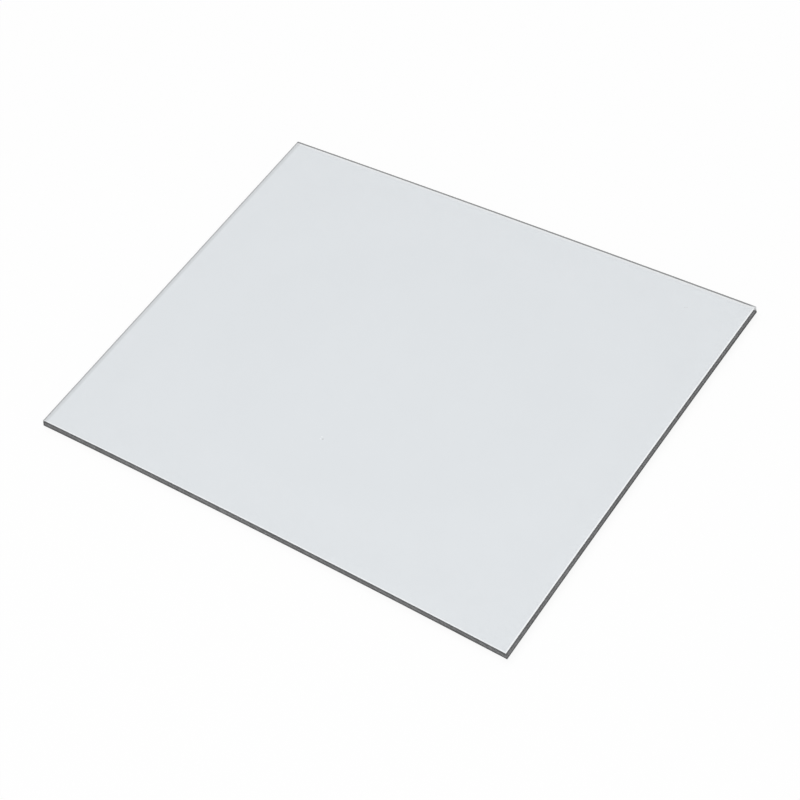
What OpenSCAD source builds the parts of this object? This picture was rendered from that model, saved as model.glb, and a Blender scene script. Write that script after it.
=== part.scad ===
// Silicone rubber sheet: one flat rectangle cut from moulded sheet stock.
// Millimetres, +Z up. The origin is the middle of the face that the sheet lies on.

/* [Sheet] */
// Length of the long sides, along X
sheet_length = 200; // [60:1:600]
// Length of the short sides, along Y
sheet_width = 150; // [60:1:600]
// Thickness of the stock, along Z
sheet_thickness = 3; // [1:0.5:12]

/* [Cut edges] */
// Radius that the knife leaves along the rims of the upper and lower faces
rim_radius = 0.2; // [0.05:0.05:0.4]

/* [Looks] */
// Colour of the translucent rubber, seen on white
sheet_colour = "#e0e4e8"; // [#e0e4e8:pale blue-grey, #f2f2ee:natural, #b9bec3:grey]

/* [Hidden] */
// Sides of a whole circle, for the roundings of the rims
rounding_sides = 48;

// Outline of a cut through the sheet, side to side: run wide, sheet_thickness high,
// standing on the X axis and centred on Y, with its four corners rounded by the rims
module cut_through(run) {
    inner_run = run - 2 * rim_radius;
    inner_height = sheet_thickness - 2 * rim_radius;
    translate([0, sheet_thickness / 2]) {
        square([run, inner_height], center = true);
        square([inner_run, sheet_thickness], center = true);
        for (side = [-1, 1], face = [-1, 1]) {
            translate([side * inner_run / 2, face * inner_height / 2])
                circle(r = rim_radius, $fn = rounding_sides);
        }
    }
}

// A cut through drawn out along Y, over a stretch centred on the origin
module drawn_out(run, stretch) {
    rotate([90, 0, 0])
        linear_extrude(height = stretch, center = true)
            cut_through(run);
}

// The whole sheet: what the length and the width, each with its rounded rims, have in common.
// The four upright corners stay sharp, as two knife cuts leave them.
module sheet() {
    color(sheet_colour)
        intersection() {
            drawn_out(sheet_length, sheet_width);
            rotate([0, 0, 90])
                drawn_out(sheet_width, sheet_length);
        }
}

sheet();
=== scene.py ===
import math
import bpy
from mathutils import Matrix, Vector


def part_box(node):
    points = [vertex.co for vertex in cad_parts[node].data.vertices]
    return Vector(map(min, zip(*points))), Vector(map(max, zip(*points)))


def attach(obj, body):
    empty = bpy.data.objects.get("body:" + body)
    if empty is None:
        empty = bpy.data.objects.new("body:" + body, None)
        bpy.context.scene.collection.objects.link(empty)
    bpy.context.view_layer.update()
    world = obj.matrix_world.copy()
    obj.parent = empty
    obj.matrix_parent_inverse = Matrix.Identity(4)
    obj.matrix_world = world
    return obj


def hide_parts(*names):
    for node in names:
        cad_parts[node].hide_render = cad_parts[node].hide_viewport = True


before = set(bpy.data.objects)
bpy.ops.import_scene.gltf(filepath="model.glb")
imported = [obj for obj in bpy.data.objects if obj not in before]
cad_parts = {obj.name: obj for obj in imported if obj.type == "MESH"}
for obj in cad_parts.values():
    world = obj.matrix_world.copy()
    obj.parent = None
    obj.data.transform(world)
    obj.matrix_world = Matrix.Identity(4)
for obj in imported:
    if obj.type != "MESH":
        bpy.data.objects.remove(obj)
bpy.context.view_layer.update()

lowCorner, highCorner = (Vector(corner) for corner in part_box("sheet"))
sheetSize = highCorner - lowCorner
print("frame loaded:", len(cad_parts), "node")


# Objects and node trees

nodeSpacing = (200, 220)  # from column to column and from row to row


def addObject(name, data):
    made = bpy.data.objects.new(name, data)
    bpy.context.scene.collection.objects.link(made)
    return made


def addNode(tree, kind, **settings):
    node = tree.nodes.new(kind)
    for name, value in settings.items():
        setattr(node, name, value)
    return node


def feed(tree, socket, value):  # links a socket, types in anything else
    if isinstance(value, bpy.types.NodeSocket):
        tree.links.new(value, socket)
    else:
        socket.default_value = value


def feedAll(tree, sockets, values):
    for socket, value in zip(sockets, values):
        feed(tree, socket, value)


def sumsIn(tree):  # arithmetic with Math nodes
    def work(operation, *values):
        node = addNode(tree, "ShaderNodeMath", operation=operation)
        feedAll(tree, node.inputs, values)
        return node.outputs[0]

    return work


def joined(tree, x, y, z):
    node = addNode(tree, "ShaderNodeCombineXYZ")
    feedAll(tree, node.inputs, (x, y, z))
    return node.outputs[0]


def parted(tree, vector):
    node = addNode(tree, "ShaderNodeSeparateXYZ")
    feed(tree, node.inputs[0], vector)
    return node.outputs


def blended(tree, share, first, second):
    node = addNode(tree, "ShaderNodeMix", data_type="RGBA")
    for index, value in ((0, share), (6, first), (7, second)):  # 6 and 7 are its colours
        feed(tree, node.inputs[index], value)
    return node.outputs[2]


def ramp(tree, value, start, end):  # 0 at start, 1 at end
    node = addNode(tree, "ShaderNodeMapRange", interpolation_type="SMOOTHSTEP")
    feedAll(tree, node.inputs, (value, start, end))
    return node.outputs[0]


def noiseAt(tree, vector, scale, detail, **settings):
    node = addNode(tree, "ShaderNodeTexNoise", **settings)
    for name, value in (("Vector", vector), ("Scale", scale), ("Detail", detail)):
        feed(tree, node.inputs[name], value)
    return node


def ownPlace(tree):
    return addNode(tree, "ShaderNodeTexCoord").outputs["Object"]


def layOut(tree):  # sets every node to the left of those that it feeds
    column = {node.name: 0 for node in tree.nodes}
    moved = True
    while moved:
        moved = False
        for link in tree.links:
            first, second = link.from_node.name, link.to_node.name
            if column[first] <= column[second]:
                column[first] = column[second] + 1
                moved = True
    filled = [0] * (max(column.values()) + 1)
    for node in tree.nodes:
        place = column[node.name]
        node.location = (-nodeSpacing[0] * place, -nodeSpacing[1] * filled[place])
        filled[place] += 1


def newMaterial(name):
    material = bpy.data.materials.new(name)
    material.use_nodes = True
    tree = material.node_tree
    return material, tree, tree.nodes["Principled BSDF"]


def plainMesh(holder, tree, inputs, name):  # the tree's result as a mesh object of its own
    shaping = holder.modifiers.new(tree.name, "NODES")
    shaping.node_group = tree
    sockets = [item for item in tree.interface.items_tree if item.in_out == "INPUT"]
    identifiers = {item.name: item.identifier for item in sockets}
    for label, value in inputs.items():
        shaping[identifiers[label]] = value
    seen = bpy.context.evaluated_depsgraph_get()
    shaped = holder.evaluated_get(seen)
    mesh = bpy.data.meshes.new_from_object(shaped, preserve_all_data_layers=True, depsgraph=seen)
    mesh.name = name
    holder.modifiers.remove(shaping)
    bpy.data.objects.remove(holder)
    piece = addObject(name, mesh)
    print(name, "made:", len(mesh.polygons), "faces")
    return piece


# The rubber's finish, tuned to the photo. Lengths are in metres, and a noise is its scale and detail

rubber = {
    "faceColour": (0.699, 0.731, 0.758, 1),
    "faceShade": (0.695, 0.727, 0.754, 1),  # where the mottling is deepest
    "mottling": (60, 3),
    "mottleEdges": (0.35, 0.65),
    "lineSoftness": 0.15,  # share of a line's width
    "paintedHighlight": (0.89, 0.91, 0.925, 1),  # painted highlight on the rims that catch the light
    "paleWidth": 0.00045,
    "frontPale": 0.6,  # the front rim's painted highlight is weaker than the right one's
    "paleStrip": 0.0013,  # the painted light strip inside the back rim
    "paleReach": 0.0018,  # and how far in it fades
    "stripLight": 0.62,
    "leftRim": (0.42, 0.43, 0.44, 1),  # the two rims that look grey, painted as the far cuts seen through the rubber
    "backRim": (0.21, 0.215, 0.22, 1),
    "leftWidth": 0.00045,
    "backWidth": 0.00053,
    "backFade": (0.0022, 0.0006),  # between these, from the right corner, the back rim pales
    "backPaling": 0.5,
    "greyShare": 0.32,  # the grey strip inside the left rim, painted, taken to be the far cut seen through the rubber
    "greyStart": 0.0012,
    "greyEnd": 0.0020,
    "greyNoise": (90, 2),
    "greyWander": 0.0004,
    "cutColour": (0.230, 0.232, 0.235, 1),
    "cutDark": (0.070, 0.071, 0.073, 1),
    "cutStart": (0.02, 0.30),  # how far round the rim the cut's finish sets in
    "cutDepth": 0.0003,  # a point this near a border is on its cut
    "streakLean": 0.35,  # run over rise
    "streakRise": 0.1,  # under 1, the streaks are drawn out upright
    "fineStreaks": (1300, 3),
    "fineSwing": 1.0,
    "coarseStreaks": (380, 2),
    "coarseSwing": 0.9,
    "patches": (30, 2),
    "patchSwing": 0.7,
    "backShade": 0.05,  # what the far end is darker by
    "middleNoise": (55, 3),  # painted shading: the cut is lighter at mid height and darker towards both rims, and the light middle wanders up and down
    "middleSwing": 0.7,
    "middleReach": 0.6,
    "middleShade": 0.24,
    "rimShade": 0.62,
    "frontShade": 0.11,  # painted shade: the front cut is a little darker than the right one
    "endShade": 0.35,  # both darken at the left and right corners
    "endReach": 0.0015,
    "lowShadowColour": (0.02, 0.02, 0.02, 1),  # painted shadow along the lower rim
    "lowShadowReach": (-0.1, -0.6),
    "lowShadowShare": 0.36,
    "lowShadowDrift": 0.20,  # more so towards the back
    "leftEnd": (0.66, 0.67, 0.68, 1),  # painted highlights where the cuts end at the left and right corners
    "rightEnd": (0.86, 0.87, 0.88, 1),
    "leftCorner": (0.00105, 2.2),  # reach along the upper rim, and how fast it ends down the cut
    "rightCorner": (0.0016, 0.70),
    "cornerEdge": (1.1, 0.9),
    "ior": 1.41,
    "transmission": 0.2,
    "faceRoughness": 0.36,
    "faceSatin": (400, 2),
    "satinSwing": 0.06,
    "cutRoughness": 0.55,
    "streakRoughness": 0.2,
    "faceGrain": (2500, 2),
    "grainShare": 0.25,
    "bumpStrength": 0.35,
    "bumpDistance": 0.0001,
}


def storedPlace(tree):  # metres from each border, -1 to 1 along the short sides, -1 to 1 in height
    sums = sumsIn(tree)
    stored = addNode(tree, "ShaderNodeAttribute", attribute_name="sheetPlace")
    across, along, height = parted(tree, stored.outputs["Vector"])
    away = {}
    for name, share, side, full in (
        ("left", across, -1, sheetSize.x), ("right", across, 1, sheetSize.x),
        ("front", along, -1, sheetSize.y), ("back", along, 1, sheetSize.y),
    ):
        away[name] = sums("MULTIPLY", sums("SUBTRACT", 1.0, sums("MULTIPLY", share, side)), full / 2)
    return away, along, height


def near(tree, distance, width):  # 1 at the border, 0 past the width
    soft = width * rubber["lineSoftness"]
    return ramp(tree, distance, width + soft, width - soft)


def rubberNoise(tree, name):
    return noiseAt(tree, ownPlace(tree), *rubber[name]).outputs[0]


def streakNoise(tree, name):  # upright streaks that lean
    sums = sumsIn(tree)
    run, breadth, rise = parted(tree, ownPlace(tree))
    lean = sums("MULTIPLY", rise, rubber["streakLean"])
    drawn = sums("MULTIPLY", rise, rubber["streakRise"])
    place = joined(tree, sums("ADD", run, lean), sums("ADD", breadth, lean), drawn)
    return noiseAt(tree, place, *rubber[name]).outputs[0]


def faceColour(tree, away):
    sums = sumsIn(tree)
    mottle = ramp(tree, rubberNoise(tree, "mottling"), *rubber["mottleEdges"])
    colour = blended(tree, mottle, rubber["faceColour"], rubber["faceShade"])

    # Painted highlight along the right and front rims
    frontHighlight = sums("MULTIPLY", near(tree, away["front"], rubber["paleWidth"]), rubber["frontPale"])
    rimHighlight = sums("MAXIMUM", near(tree, away["right"], rubber["paleWidth"]), frontHighlight)
    colour = blended(tree, rimHighlight, colour, rubber["paintedHighlight"])

    # The back rim, and the painted light strip inside it
    fading = ramp(tree, away["back"], rubber["paleReach"], 0.0)
    strip = sums("ADD", fading, near(tree, away["back"], rubber["paleStrip"]))
    colour = blended(tree, sums("MULTIPLY", strip, rubber["stripLight"]), colour, rubber["paintedHighlight"])

    # The left rim, and the grey strip inside it, both painted as the far cut seen through the rubber
    wander = sums("MULTIPLY", rubberNoise(tree, "greyNoise"), rubber["greyWander"])
    greyEnd = sums("ADD", rubber["greyEnd"], wander)
    grey = sums("MULTIPLY", ramp(tree, away["left"], greyEnd, rubber["greyStart"]), rubber["greyShare"])
    colour = blended(tree, grey, colour, rubber["leftRim"])
    colour = blended(tree, near(tree, away["left"], rubber["leftWidth"]), colour, rubber["leftRim"])

    # The back rim's grey line, painted as the far cut seen through the rubber, fades near the right corner
    paling = sums("MULTIPLY", ramp(tree, away["right"], *rubber["backFade"]), rubber["backPaling"])
    backLine = near(tree, away["back"], rubber["backWidth"])
    backLine = sums("MULTIPLY", backLine, sums("SUBTRACT", 1.0, paling))
    return blended(tree, backLine, colour, rubber["backRim"])


def cutShade(tree, away, along, height, streaks):  # 0 at the lightest, past 1 where it is all dark
    sums = sumsIn(tree)

    def swing(value, amount):  # noise about its middle
        return sums("MULTIPLY", sums("SUBTRACT", value, 0.5), amount)

    coarse = swing(streakNoise(tree, "coarseStreaks"), rubber["coarseSwing"])
    marks = sums("ADD", swing(streaks, rubber["fineSwing"]), coarse)
    patches = swing(rubberNoise(tree, "patches"), rubber["patchSwing"])
    patches = sums("ADD", patches, sums("MULTIPLY", along, rubber["backShade"]))
    # Painted shading: lighter at mid height, darker towards both rims
    middle = sums("ADD", height, swing(rubberNoise(tree, "middleNoise"), rubber["middleSwing"]))
    nearRims = ramp(tree, sums("ABSOLUTE", middle), 0.0, rubber["middleReach"])
    shade = sums("ADD", sums("MULTIPLY", nearRims, rubber["rimShade"]), rubber["middleShade"])
    leftEnd, rightEnd = (ramp(tree, away[name], rubber["endReach"], 0.0) for name in ("left", "back"))
    shade = sums("ADD", shade, sums("MULTIPLY", sums("MAXIMUM", leftEnd, rightEnd), rubber["endShade"]))
    # Painted shade on the front cut
    onFront = near(tree, away["front"], rubber["cutDepth"])
    shade = sums("ADD", shade, sums("MULTIPLY", onFront, rubber["frontShade"]))
    return sums("ADD", shade, sums("ADD", marks, patches))


def cutColour(tree, away, along, height, streaks):
    sums = sumsIn(tree)
    shade = cutShade(tree, away, along, height, streaks)
    colour = blended(tree, shade, rubber["cutColour"], rubber["cutDark"])
    # Painted shadow along the lower rim, darker towards the back
    lowShadowShare = sums("ADD", rubber["lowShadowShare"], sums("MULTIPLY", along, rubber["lowShadowDrift"]))
    lowShadowBand = sums("MULTIPLY", ramp(tree, height, *rubber["lowShadowReach"]), lowShadowShare)
    colour = blended(tree, lowShadowBand, colour, rubber["lowShadowColour"])

    # At each end a painted highlight runs along a slant, from the upper rim down to the corner
    depth = sums("SUBTRACT", 1.0, height)  # 0 at the upper face, 2 at the lower one
    for cutOf, endOf, corner, tone in (
        ("front", "left", "leftCorner", "leftEnd"), ("right", "back", "rightCorner", "rightEnd"),
    ):
        reach, fall = rubber[corner]
        slant = sums("ADD", sums("DIVIDE", away[endOf], reach), sums("MULTIPLY", depth, fall))
        onThisCut = near(tree, away[cutOf], rubber["cutDepth"])
        cornerHighlight = sums("MULTIPLY", onThisCut, ramp(tree, slant, *rubber["cornerEdge"]))
        colour = blended(tree, cornerHighlight, colour, rubber[tone])
    return colour


def rubberMaterial():
    material, tree, shader = newMaterial("translucentSilicone")
    shader.inputs["IOR"].default_value = rubber["ior"]
    shader.inputs["Transmission Weight"].default_value = rubber["transmission"]
    sums = sumsIn(tree)
    away, along, height = storedPlace(tree)
    cutShare = addNode(tree, "ShaderNodeAttribute", attribute_name="cutShare").outputs["Fac"]
    onCut = ramp(tree, cutShare, *rubber["cutStart"])
    onFace = sums("SUBTRACT", 1.0, onCut)
    streaks = streakNoise(tree, "fineStreaks")
    cut = cutColour(tree, away, along, height, streaks)
    feed(tree, shader.inputs["Base Color"], blended(tree, onCut, faceColour(tree, away), cut))

    satin = sums("MULTIPLY", rubberNoise(tree, "faceSatin"), rubber["satinSwing"])
    satin = sums("MULTIPLY", sums("ADD", rubber["faceRoughness"], satin), onFace)
    rough = sums("ADD", rubber["cutRoughness"], sums("MULTIPLY", streaks, rubber["streakRoughness"]))
    feed(tree, shader.inputs["Roughness"], sums("ADD", satin, sums("MULTIPLY", rough, onCut)))

    grain = sums("MULTIPLY", rubberNoise(tree, "faceGrain"), sums("MULTIPLY", onFace, rubber["grainShare"]))
    bump = addNode(tree, "ShaderNodeBump")
    bump.inputs["Strength"].default_value = rubber["bumpStrength"]
    bump.inputs["Distance"].default_value = rubber["bumpDistance"]
    feed(tree, bump.inputs["Height"], sums("ADD", grain, sums("MULTIPLY", streaks, onCut)))
    feed(tree, shader.inputs["Normal"], bump.outputs[0])
    layOut(tree)
    return material


# The sheet, a block of cells bent by sums into a slab with cut borders. The bows, leans, twist, crest and
# taper were tuned to the photo together with the camera, and the real borders may be straighter

sheetCut = {
    "Cells Along": 160,
    "Cells Across": 120,
    "Cut Levels": 12,  # cells up the cut, a third of them for each rim
    "Rim Radius": 0.00012,
    "Front Bow": 0.00073,  # how far the middle of the border lies inwards of its ends
    "Right Bow": 0.00031,
    "Back Bow": 0.00038,  # here the border falls away to both sides of its crest
    "Back Crest": -0.46,  # from -1, the left end, to 1
    "Front Lean": 0.00030,  # how much further in the upper rim lies than the lower one
    "Front Twist": 0.00012,  # more than that at the left end and less at the right
    "Left Lean": 0.00090,
    "Right Lean": 0.00008,  # and here the lower rim lies further in
    "Left Taper": 0.00030,  # how far the border has come in at its back end
    "Cut Wander": 0.00004,  # a slow drift inwards
    "Wander Length": 0.030,
    "Wander Detail": 1.0,
    "Cut Chatter": 0.000014,  # finer steps
    "Chatter Length": 0.0022,
    "Chatter Detail": 3.0,
    "Cut Hollow": 0.00004,  # at mid height
    "Face Ripple": 0.00002,
    "Ripple Length": 0.028,
    "Ripple Detail": 1.0,
    "Seed": 3.0,
}


def cutProfile(sums, given, halves, side, reach):  # a straight wall, then a quarter turn at each rim
    wallShare = 1 / 3
    wall = sums("MINIMUM", sums("DIVIDE", reach[2], wallShare), 1.0)
    pastWall = sums("MAXIMUM", sums("SUBTRACT", reach[2], wallShare), 0.0)
    turn = sums("MULTIPLY", pastWall, math.pi / 2 / (1 - wallShare))
    cutShare = sums("COSINE", turn)  # 1 on the cut, 0 on the faces
    inset = sums("MULTIPLY", given["Rim Radius"], sums("SUBTRACT", 1.0, cutShare))
    wallHeight = sums("MULTIPLY", wall, sums("SUBTRACT", halves[2], given["Rim Radius"]))
    rise = sums("ADD", wallHeight, sums("MULTIPLY", given["Rim Radius"], sums("SINE", turn)))
    height = sums("MULTIPLY", side[2], sums("DIVIDE", rise, halves[2]))  # -1 under, 1 on top
    return cutShare, inset, rise, height


def borderCuts(sums, given, side, spread, height):  # how far the borders of each axis lie inwards

    def bowed(name, other):  # most at mid length
        return sums("MULTIPLY", given[name], sums("SUBTRACT", 1.0, sums("MULTIPLY", other, other)))

    def rising(name, other):  # none at one end, all of it at the other
        return sums("MULTIPLY", given[name], sums("MULTIPLY", sums("ADD", other, 1.0), 0.5))

    below = sums("MULTIPLY", height, -1.0)
    rightCut = sums("ADD", bowed("Right Bow", spread[1]), rising("Right Lean", below))
    leftCut = sums("ADD", rising("Left Taper", spread[1]), rising("Left Lean", height))
    frontTurn = sums("MULTIPLY", rising("Front Twist", height), spread[0])
    frontLean = sums("SUBTRACT", rising("Front Lean", height), frontTurn)
    frontCut = sums("ADD", bowed("Front Bow", spread[0]), frontLean)
    fromCrest = sums("SUBTRACT", spread[0], given["Back Crest"])
    backCut = sums("MULTIPLY", given["Back Bow"], sums("POWER", fromCrest, 2.0))
    onRight = sums("MAXIMUM", side[0], 0.0)
    onFront = sums("MAXIMUM", sums("MULTIPLY", side[1], -1.0), 0.0)
    cuts = []
    for first, second, onFirst in ((rightCut, leftCut, onRight), (frontCut, backCut, onFront)):
        onSecond = sums("SUBTRACT", 1.0, onFirst)
        cuts.append(sums("ADD", sums("MULTIPLY", first, onFirst), sums("MULTIPLY", second, onSecond)))
    return cuts


def sheetTree(inputs, material):
    tree = bpy.data.node_groups.new("cutSheet", "GeometryNodeTree")
    for name, value in inputs.items():
        kind = "NodeSocketInt" if isinstance(value, int) else "NodeSocketFloat"
        tree.interface.new_socket(name, in_out="INPUT", socket_type=kind)
    tree.interface.new_socket("Sheet", in_out="OUTPUT", socket_type="NodeSocketGeometry")
    given = addNode(tree, "NodeGroupInput").outputs
    sums = sumsIn(tree)

    # The block, and each point's share of the way from its middle to its borders
    block = addNode(tree, "GeometryNodeMeshCube")
    feed(tree, block.inputs["Size"], joined(tree, given["Length"], given["Width"], given["Thickness"]))
    for axis, name in (("X", "Cells Along"), ("Y", "Cells Across"), ("Z", "Cut Levels")):
        feed(tree, block.inputs["Vertices " + axis], sums("ADD", given[name], 1))
    point = parted(tree, addNode(tree, "GeometryNodeInputPosition").outputs[0])
    halves = [sums("MULTIPLY", given[name], 0.5) for name in ("Length", "Width", "Thickness")]
    share = [sums("DIVIDE", point[axis], halves[axis]) for axis in range(3)]
    side = [sums("SIGN", one) for one in share]
    reach = [sums("ABSOLUTE", one) for one in share]

    # Cells crowd towards the borders, so that the rims stay crisp
    crowding = 1.5
    spread = []
    for axis in range(2):
        inner = sums("POWER", sums("SUBTRACT", 1.0, reach[axis]), crowding)
        spread.append(sums("MULTIPLY", side[axis], sums("SUBTRACT", 1.0, inner)))

    cutShare, inset, rise, height = cutProfile(sums, given, halves, side, reach)
    cuts = borderCuts(sums, given, side, spread, height)

    def seededNoise(kind, x, y, z):
        scale = sums("DIVIDE", 1.0, given[kind + " Length"])
        detail = given[kind + " Detail"]
        node = noiseAt(tree, joined(tree, x, y, z), scale, detail, noise_dimensions="4D")
        feed(tree, node.inputs["W"], given["Seed"])
        return node.outputs[0]

    # Every border also wanders, and its cut is stepped and a little hollow
    hollow = sums("MULTIPLY", given["Cut Hollow"], sums("SUBTRACT", 1.0, sums("MULTIPLY", height, height)))
    placed = []
    for axis in range(2):
        run = sums("MULTIPLY", spread[1 - axis], halves[1 - axis])
        apart = sums("MULTIPLY", side[axis], 1.0 + axis)  # each border reads its own part of the noise
        drift = seededNoise("Wander", run, apart, 0.0)
        steps = seededNoise("Chatter", run, apart, point[2])
        chatter = sums("ADD", hollow, sums("MULTIPLY", given["Cut Chatter"], steps))
        stray = sums("ADD", cuts[axis], sums("MULTIPLY", given["Cut Wander"], drift))
        stray = sums("ADD", stray, sums("MULTIPLY", chatter, cutShare))
        straight = sums("SUBTRACT", sums("SUBTRACT", halves[axis], inset), stray)
        placed.append(sums("MULTIPLY", spread[axis], straight))

    # The upper face ripples faintly, the lower one lies flat
    rippleRise = 12.0  # how steeply the ripple grows from the borders inwards
    ripple = seededNoise("Ripple", placed[0], placed[1], 0.0)
    onTop = sums("MULTIPLY", sums("MAXIMUM", side[2], 0.0), sums("SUBTRACT", 1.0, cutShare))
    inside = sums("MULTIPLY", sums("SUBTRACT", 1.0, reach[0]), sums("SUBTRACT", 1.0, reach[1]))
    inside = sums("MINIMUM", sums("MULTIPLY", inside, rippleRise), 1.0)
    dip = sums("MULTIPLY", sums("MULTIPLY", given["Face Ripple"], ripple), sums("MULTIPLY", onTop, inside))
    lift = sums("SUBTRACT", sums("ADD", halves[2], sums("MULTIPLY", side[2], rise)), dip)

    # What the finish reads is stored before the points move
    current = block.outputs["Mesh"]
    spot = joined(tree, spread[0], spread[1], height)
    for name, kind, value in (("cutShare", "FLOAT", cutShare), ("sheetPlace", "FLOAT_VECTOR", spot)):
        store = addNode(tree, "GeometryNodeStoreNamedAttribute", data_type=kind, domain="POINT")
        for label, one in (("Geometry", current), ("Name", name), ("Value", value)):
            feed(tree, store.inputs[label], one)
        current = store.outputs[0]
    moved = addNode(tree, "GeometryNodeSetPosition")
    feed(tree, moved.inputs["Geometry"], current)
    feed(tree, moved.inputs["Position"], joined(tree, placed[0], placed[1], lift))
    smooth = addNode(tree, "GeometryNodeSetShadeSmooth")
    feed(tree, smooth.inputs["Geometry"], moved.outputs[0])

    # The upright corners stay sharp, where two cuts meet
    sharpAngle = math.radians(40)
    angle = addNode(tree, "GeometryNodeInputMeshEdgeAngle").outputs["Unsigned Angle"]
    sharp = addNode(tree, "GeometryNodeSetShadeSmooth", domain="EDGE")
    feed(tree, sharp.inputs["Geometry"], smooth.outputs[0])
    feed(tree, sharp.inputs["Selection"], sums("GREATER_THAN", angle, sharpAngle))
    sharp.inputs["Shade Smooth"].default_value = False
    finishTree(tree, sharp.outputs[0], material)
    return tree


def finishTree(tree, geometry, material):
    real = addNode(tree, "GeometryNodeRealizeInstances")
    feed(tree, real.inputs[0], geometry)
    dress = addNode(tree, "GeometryNodeSetMaterial")
    feed(tree, dress.inputs["Geometry"], real.outputs[0])
    dress.inputs["Material"].default_value = material
    feed(tree, addNode(tree, "NodeGroupOutput").inputs[0], dress.outputs[0])
    layOut(tree)


def buildSheet(material):
    inputs = {"Length": sheetSize.x, "Width": sheetSize.y, "Thickness": sheetSize.z, **sheetCut}
    holder = addObject("sheetHolder", bpy.data.meshes.new("sheetHolder"))
    piece = plainMesh(holder, sheetTree(inputs, material), inputs, "siliconeSheet")
    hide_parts("sheet")
    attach(piece, "root")


# Specks in the upper face: a grey grain beside two pale flecks, the painted shade and painted highlight of a
# tiny bump, and two faint grains near the back

specks = {
    "places": (
        (-0.00095, -0.03568), (-0.00186, -0.03507), (-0.00182, -0.03597),
        (0.07884, 0.06412), (0.07948, 0.06441),
    ),
    "widths": (0.8, 0.75, 0.7, 0.65, 0.65),  # shares of the grain's full width
    "tones": (0.1, 1.0, 1.0, 0.4, 0.4),  # 0 grey, 1 pale
    "Grain Radius": 0.00030,
    "Grain Rise": 0.00001,
    "subdivisions": 4,
    "colour": (0.42, 0.43, 0.44, 1),
    "palest": (0.90, 0.92, 0.935, 1),
    "toneNoise": (4000, 2),
    "toneSwing": 0.3,
    "roughness": 0.5,
}


def speckMaterial():
    material, tree, shader = newMaterial("greySpeck")
    sums = sumsIn(tree)
    noise = noiseAt(tree, ownPlace(tree), *specks["toneNoise"]).outputs[0]
    tone = addNode(tree, "ShaderNodeAttribute", attribute_name="tone").outputs["Fac"]
    share = sums("ADD", tone, sums("MULTIPLY", sums("SUBTRACT", noise, 0.5), specks["toneSwing"]))
    feed(tree, shader.inputs["Base Color"], blended(tree, share, specks["colour"], specks["palest"]))
    shader.inputs["Roughness"].default_value = specks["roughness"]
    layOut(tree)
    return material


def speckTree(inputs, material):
    tree = bpy.data.node_groups.new("specks", "GeometryNodeTree")
    tree.interface.new_socket("Places", in_out="INPUT", socket_type="NodeSocketGeometry")
    for name in inputs:
        tree.interface.new_socket(name, in_out="INPUT", socket_type="NodeSocketFloat")
    tree.interface.new_socket("Specks", in_out="OUTPUT", socket_type="NodeSocketGeometry")
    given = addNode(tree, "NodeGroupInput").outputs
    points = addNode(tree, "GeometryNodeMeshToPoints")
    feed(tree, points.inputs["Mesh"], given["Places"])
    grain = addNode(tree, "GeometryNodeMeshIcoSphere")
    feed(tree, grain.inputs["Radius"], given["Grain Radius"])
    grain.inputs["Subdivisions"].default_value = specks["subdivisions"]
    named = addNode(tree, "GeometryNodeInputNamedAttribute", data_type="FLOAT")
    named.inputs["Name"].default_value = "width"
    width = named.outputs[0]
    flatness = sumsIn(tree)("DIVIDE", given["Grain Rise"], given["Grain Radius"])
    spread = addNode(tree, "GeometryNodeInstanceOnPoints")
    feed(tree, spread.inputs["Points"], points.outputs[0])
    feed(tree, spread.inputs["Instance"], grain.outputs["Mesh"])
    feed(tree, spread.inputs["Scale"], joined(tree, width, width, flatness))
    finishTree(tree, spread.outputs[0], material)
    return tree


def buildSpecks(material):
    sunk = highCorner.z - sheetCut["Face Ripple"] / 2
    mesh = bpy.data.meshes.new("speckPlaces")
    mesh.from_pydata([(x, y, sunk) for x, y in specks["places"]], [], [])
    for name, values in (("width", specks["widths"]), ("tone", specks["tones"])):
        mesh.attributes.new(name, "FLOAT", "POINT").data.foreach_set("value", values)
    holder = addObject("speckHolder", mesh)
    inputs = {name: specks[name] for name in ("Grain Radius", "Grain Rise")}
    piece = plainMesh(holder, speckTree(inputs, material), inputs, "faceSpecks")
    piece.data.shade_smooth()
    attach(piece, "root")


# Floor, light and camera

studio = {
    "floorReach": 12.0,  # metres from the middle
    "floorColour": (0.95, 0.95, 0.95, 1),
    "floorRoughness": 0.9,
    "floorShine": 0.0,
    "floorGlow": 0.9,  # how much of the floor's white is its own, so that the shadow stays faint
    "fillColour": (1, 1, 1, 1),
    "fillStrength": 0.45,
    "seenStrength": 1.0,  # how bright the background is where it is looked at
    "keyStrength": 0.57,  # what the key adds to a face that is square to it
    "keyTilt": (-18, -22),  # degrees about X and Y, from straight down
    "keySoftness": 50,  # degrees across
    "spotPlace": (0.03, -0.30, 0.90),  # a weak spot over the front, so that the far end is a shade darker
    "spotAim": (0.02, -0.16, 0),
    "spotPower": 1.3,  # watts
    "spotCone": 31,  # degrees across
    "spotBlend": 0.5,
    "spotSize": 0.10,
}


def whiteWhereSeen(tree):  # 1 for rays that look at it straight, mirrored or through the rubber
    sums = sumsIn(tree)
    path = addNode(tree, "ShaderNodeLightPath").outputs
    seen = sums("MAXIMUM", path["Is Camera Ray"], path["Is Glossy Ray"])
    return sums("MAXIMUM", seen, path["Is Transmission Ray"])


def buildWorld():
    world = bpy.data.worlds.new("studio")
    bpy.context.scene.world = world
    world.use_nodes = True
    tree = world.node_tree
    background = tree.nodes["Background"]
    strength = addNode(tree, "ShaderNodeMix", data_type="FLOAT")
    seen = whiteWhereSeen(tree)
    for index, value in ((0, seen), (2, studio["fillStrength"]), (3, studio["seenStrength"])):
        feed(tree, strength.inputs[index], value)
    feed(tree, background.inputs["Strength"], strength.outputs[0])
    background.inputs["Color"].default_value = studio["fillColour"]
    layOut(tree)


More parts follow.
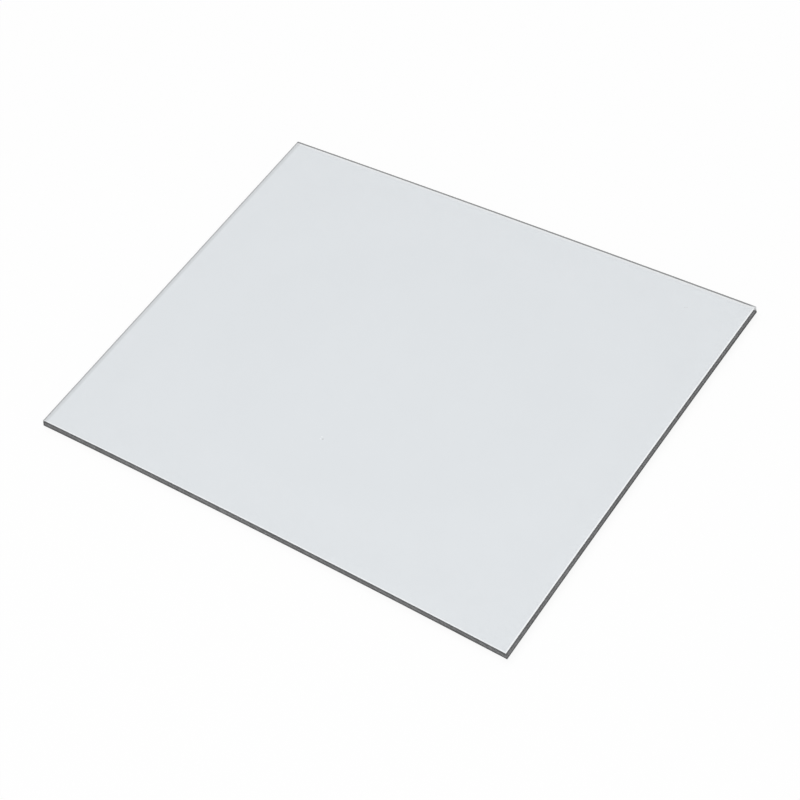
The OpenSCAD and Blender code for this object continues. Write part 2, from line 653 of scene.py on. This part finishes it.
def buildFloor():
    reach = studio["floorReach"]
    mesh = bpy.data.meshes.new("floor")
    corners = [(-reach, -reach, 0), (reach, -reach, 0), (reach, reach, 0), (-reach, reach, 0)]
    mesh.from_pydata(corners, [], [(0, 1, 2, 3)])
    floor = addObject("floor", mesh)
    material, tree, shader = newMaterial("paleFloor")
    shader.inputs["Base Color"].default_value = studio["floorColour"]
    shader.inputs["Roughness"].default_value = studio["floorRoughness"]
    shader.inputs["Specular IOR Level"].default_value = studio["floorShine"]
    glow = addNode(tree, "ShaderNodeEmission")
    share = sumsIn(tree)("MULTIPLY", whiteWhereSeen(tree), studio["floorGlow"])
    mix = addNode(tree, "ShaderNodeMixShader")
    feedAll(tree, mix.inputs, (share, shader.outputs[0], glow.outputs[0]))
    feed(tree, tree.nodes["Material Output"].inputs["Surface"], mix.outputs[0])
    layOut(tree)
    mesh.materials.append(material)


def aimed(place, aim):  # stands at one point and looks at the other
    look = Vector(aim) - Vector(place)
    return Matrix.Translation(place) @ look.to_track_quat("-Z", "Y").to_matrix().to_4x4()


def buildLights():
    key = bpy.data.lights.new("softKey", "SUN")
    key.energy = math.pi * studio["keyStrength"]
    key.angle = math.radians(studio["keySoftness"])
    tiltX, tiltY = (math.radians(one) for one in studio["keyTilt"])
    addObject("softKey", key).rotation_euler = (tiltX, tiltY, 0)
    spot = bpy.data.lights.new("softSpot", "SPOT")
    spot.energy = studio["spotPower"]
    spot.spot_size = math.radians(studio["spotCone"])
    spot.spot_blend = studio["spotBlend"]
    spot.shadow_soft_size = studio["spotSize"]
    addObject("softSpot", spot).matrix_world = aimed(studio["spotPlace"], studio["spotAim"])


camera = {
    "place": (0.33679, -0.26614, 0.47712),
    "aim": (0.01327, -0.01060, 0.003),
    "roll": 20.263,  # degrees
    "lens": 84.801,  # mm
    "sensor": 36.0,
    "clip": (0.01, 100),
}


def buildCamera():
    data = bpy.data.cameras.new("studioCamera")
    data.lens = camera["lens"]
    data.sensor_width = camera["sensor"]
    data.clip_start, data.clip_end = camera["clip"]
    holder = addObject("studioCamera", data)
    roll = Matrix.Rotation(-math.radians(camera["roll"]), 4, "Z")
    holder.matrix_world = aimed(camera["place"], camera["aim"]) @ roll
    bpy.context.scene.camera = holder


buildSheet(rubberMaterial())
buildSpecks(speckMaterial())
buildWorld()
buildFloor()
buildLights()
buildCamera()
bpy.context.scene.view_settings.view_transform = "Standard"
print("studio made")
